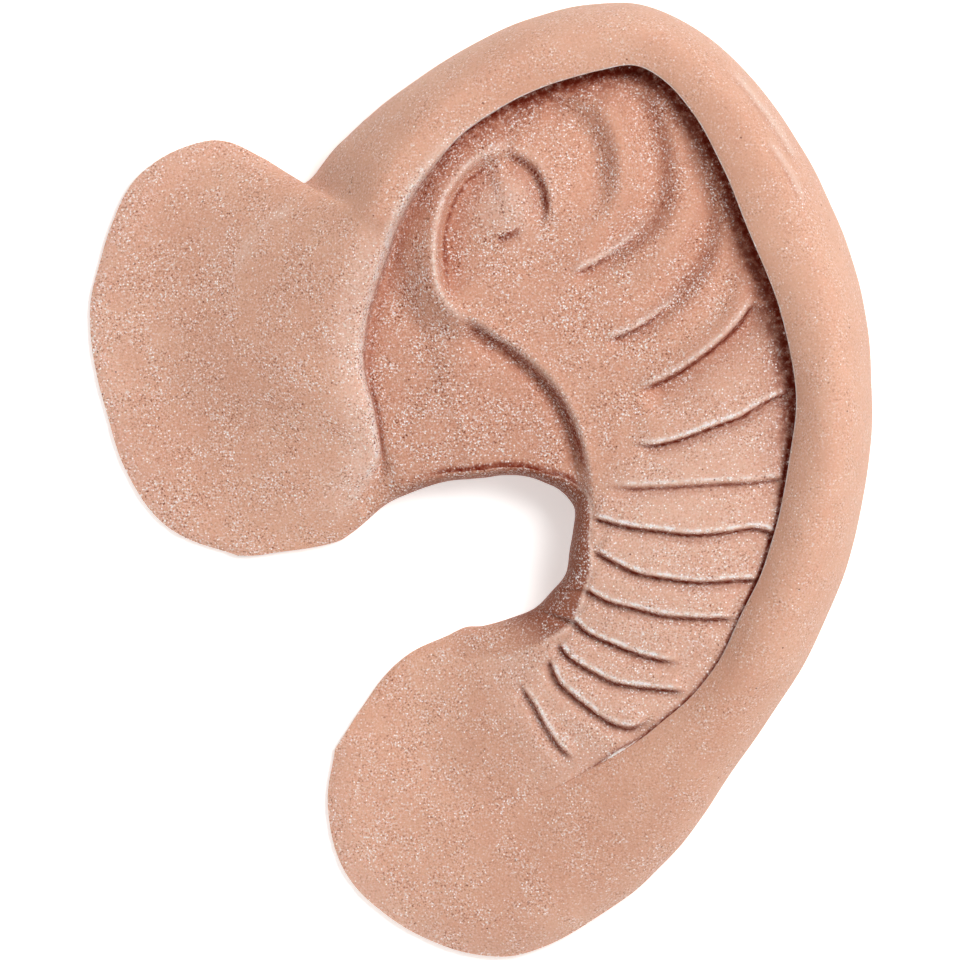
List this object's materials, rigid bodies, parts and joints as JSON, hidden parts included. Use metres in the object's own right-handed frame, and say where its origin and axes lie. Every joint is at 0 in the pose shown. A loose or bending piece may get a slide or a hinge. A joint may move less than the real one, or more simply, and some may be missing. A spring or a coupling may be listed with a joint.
{
  "type": "foam latex elf ear",
  "caption": "Soft moulded fantasy ear that is glued over a wearer's left ear: rolled pointed rim, spiral curl, ribbed inner side, open canal notch and thin glue flanges.",
  "frame": {"origin": "middle of the ear's width and height, on the plane of the glued side", "axes": "+Y towards the pointed top of the ear, +X towards the outer rim, +Z out of the front, away from the head"},
  "size_m": [0.0905, 0.1101, 0.028],
  "materials": {
    "foam_latex": "matte skin-coloured foam with fine pores"
  },
  "bodies": {
    "root": {"ear_shell": "foam_latex"}
  },
  "joints": []
}
